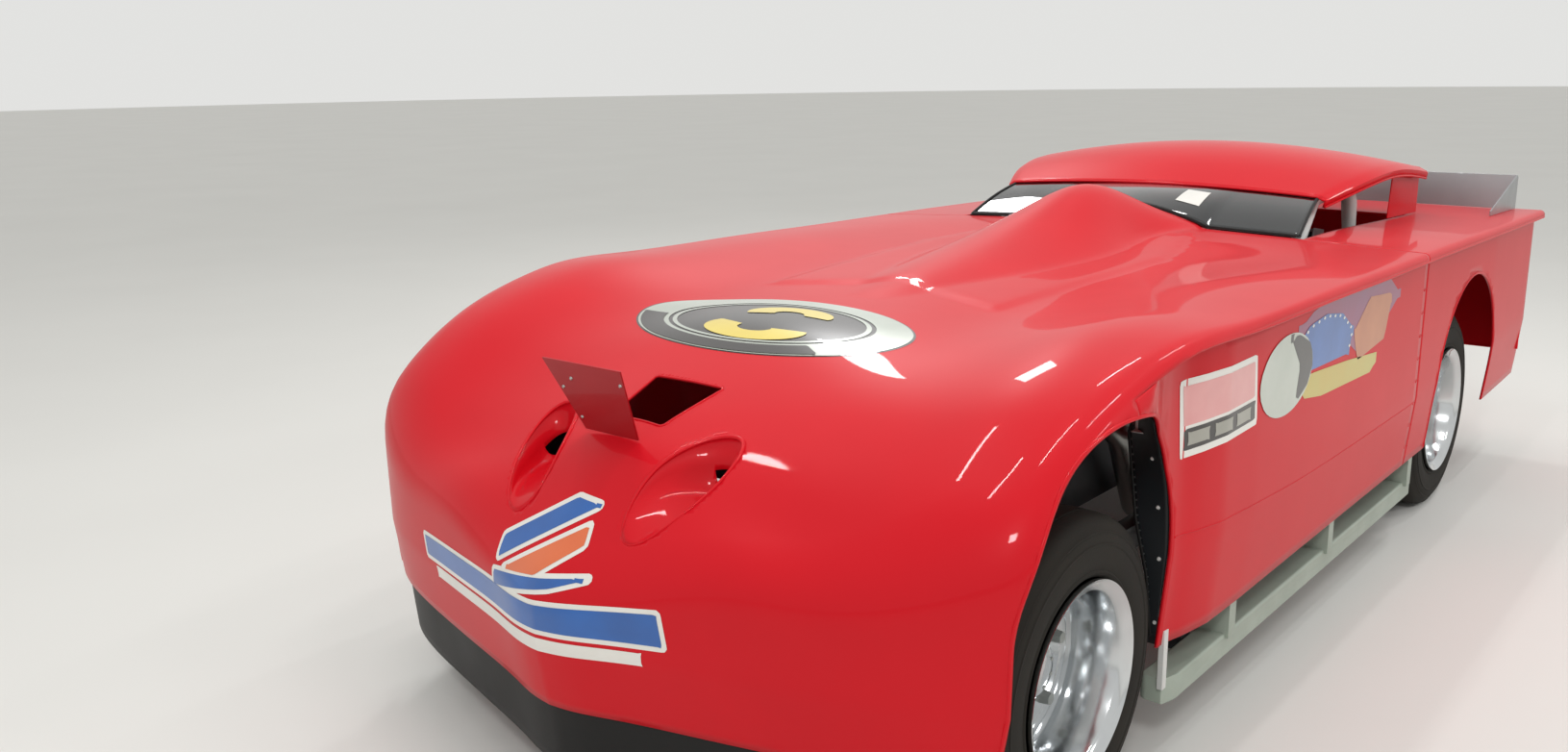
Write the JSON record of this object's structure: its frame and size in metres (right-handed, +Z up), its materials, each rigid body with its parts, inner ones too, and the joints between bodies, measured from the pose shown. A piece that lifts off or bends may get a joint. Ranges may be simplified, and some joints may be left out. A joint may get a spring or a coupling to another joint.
{
  "type": "dirt oval stock car",
  "caption": "Wedge-bodied oval-track stock car: long flat nose and bonnet, raised cowl, low cab, slab sides, exposed steered front wheels and wide rear tyres.",
  "frame": {"origin": "on the ground under the middle of the body's box", "axes": "+X to the car's left, -Y forwards, +Z up"},
  "size_m": [1.9206, 4.23, 1.2348],
  "materials": {
    "body_paint": "gloss",
    "black_plastic": "satin",
    "glass": "gloss",
    "clear_sheet": "satin",
    "polished_rim": "polished",
    "tyre_rubber": "matte",
    "cast_steel": "satin",
    "frame_paint": "gloss",
    "rocker_plastic": "satin",
    "plated_steel": "satin",
    "engine_metal": "satin",
    "cast_aluminium": "satin",
    "cage_paint": "gloss",
    "sheet_aluminium": "satin",
    "pad_fabric": "woven"
  },
  "bodies": {
    "chassis": {"front_clip": "body_paint", "door_panel_left": "body_paint", "door_panel_right": "body_paint", "quarter_panel_left": "body_paint", "quarter_panel_right": "body_paint", "rear_deck": "body_paint", "air_dam": "black_plastic", "roof": "body_paint", "windshield": "glass", "sail_panel_left": "body_paint", "sail_panel_right": "body_paint", "spoiler": "clear_sheet", "tail_panel": "body_paint", "frame": "frame_paint", "rocker_left": "rocker_plastic", "rocker_right": "rocker_plastic", "front_arms": "frame_paint", "coil_overs": "plated_steel", "rear_axle": "cast_steel", "engine": "engine_metal", "gearbox": "cast_aluminium", "driveshaft": "plated_steel", "radiator": "cast_aluminium", "fuel_cell": "black_plastic", "roll_cage": "cage_paint", "nose_flap": "body_paint", "floor_pan": "sheet_aluminium", "interior_panels": "sheet_aluminium", "seat": "sheet_aluminium", "seat_pad": "pad_fabric", "steering_wheel": "black_plastic", "exhaust": "plated_steel", "rear_links": "plated_steel", "wheel_liner_left": "black_plastic", "wheel_liner_right": "black_plastic"},
    "knuckle_left": {"knuckle_left": "cast_steel"},
    "knuckle_right": {"knuckle_right": "cast_steel"},
    "front_wheel_left": {"front_wheel_left": "polished_rim", "front_tyre_left": "tyre_rubber"},
    "front_wheel_right": {"front_wheel_right": "polished_rim", "front_tyre_right": "tyre_rubber"},
    "rear_wheel_left": {"rear_wheel_left": "polished_rim", "rear_tyre_left": "tyre_rubber"},
    "rear_wheel_right": {"rear_wheel_right": "polished_rim", "rear_tyre_right": "tyre_rubber"}
  },
  "joints": [
    {"name": "steer_left", "type": "hinge", "parent": "chassis", "child": "knuckle_left", "pos_m": [0.56, -1.445, 0.34], "axis": [0, 0, 1], "range_deg": [-20, 20]},
    {"name": "front_spin_left", "type": "hinge", "parent": "knuckle_left", "child": "front_wheel_left", "pos_m": [0.7, -1.445, 0.34], "axis": [1, 0, 0], "continuous": true},
    {"name": "rear_spin_left", "type": "hinge", "parent": "chassis", "child": "rear_wheel_left", "pos_m": [0.7, 1.195, 0.34], "axis": [1, 0, 0], "continuous": true},
    {"name": "steer_right", "type": "hinge", "parent": "chassis", "child": "knuckle_right", "pos_m": [-0.56, -1.445, 0.34], "axis": [0, 0, 1], "range_deg": [-20, 20]},
    {"name": "front_spin_right", "type": "hinge", "parent": "knuckle_right", "child": "front_wheel_right", "pos_m": [-0.7, -1.445, 0.34], "axis": [1, 0, 0], "continuous": true},
    {"name": "rear_spin_right", "type": "hinge", "parent": "chassis", "child": "rear_wheel_right", "pos_m": [-0.7, 1.195, 0.34], "axis": [1, 0, 0], "continuous": true}
  ],
  "couplings": [
    {"joint": "steer_right", "follows": "steer_left", "ratio": 1}
  ]
}
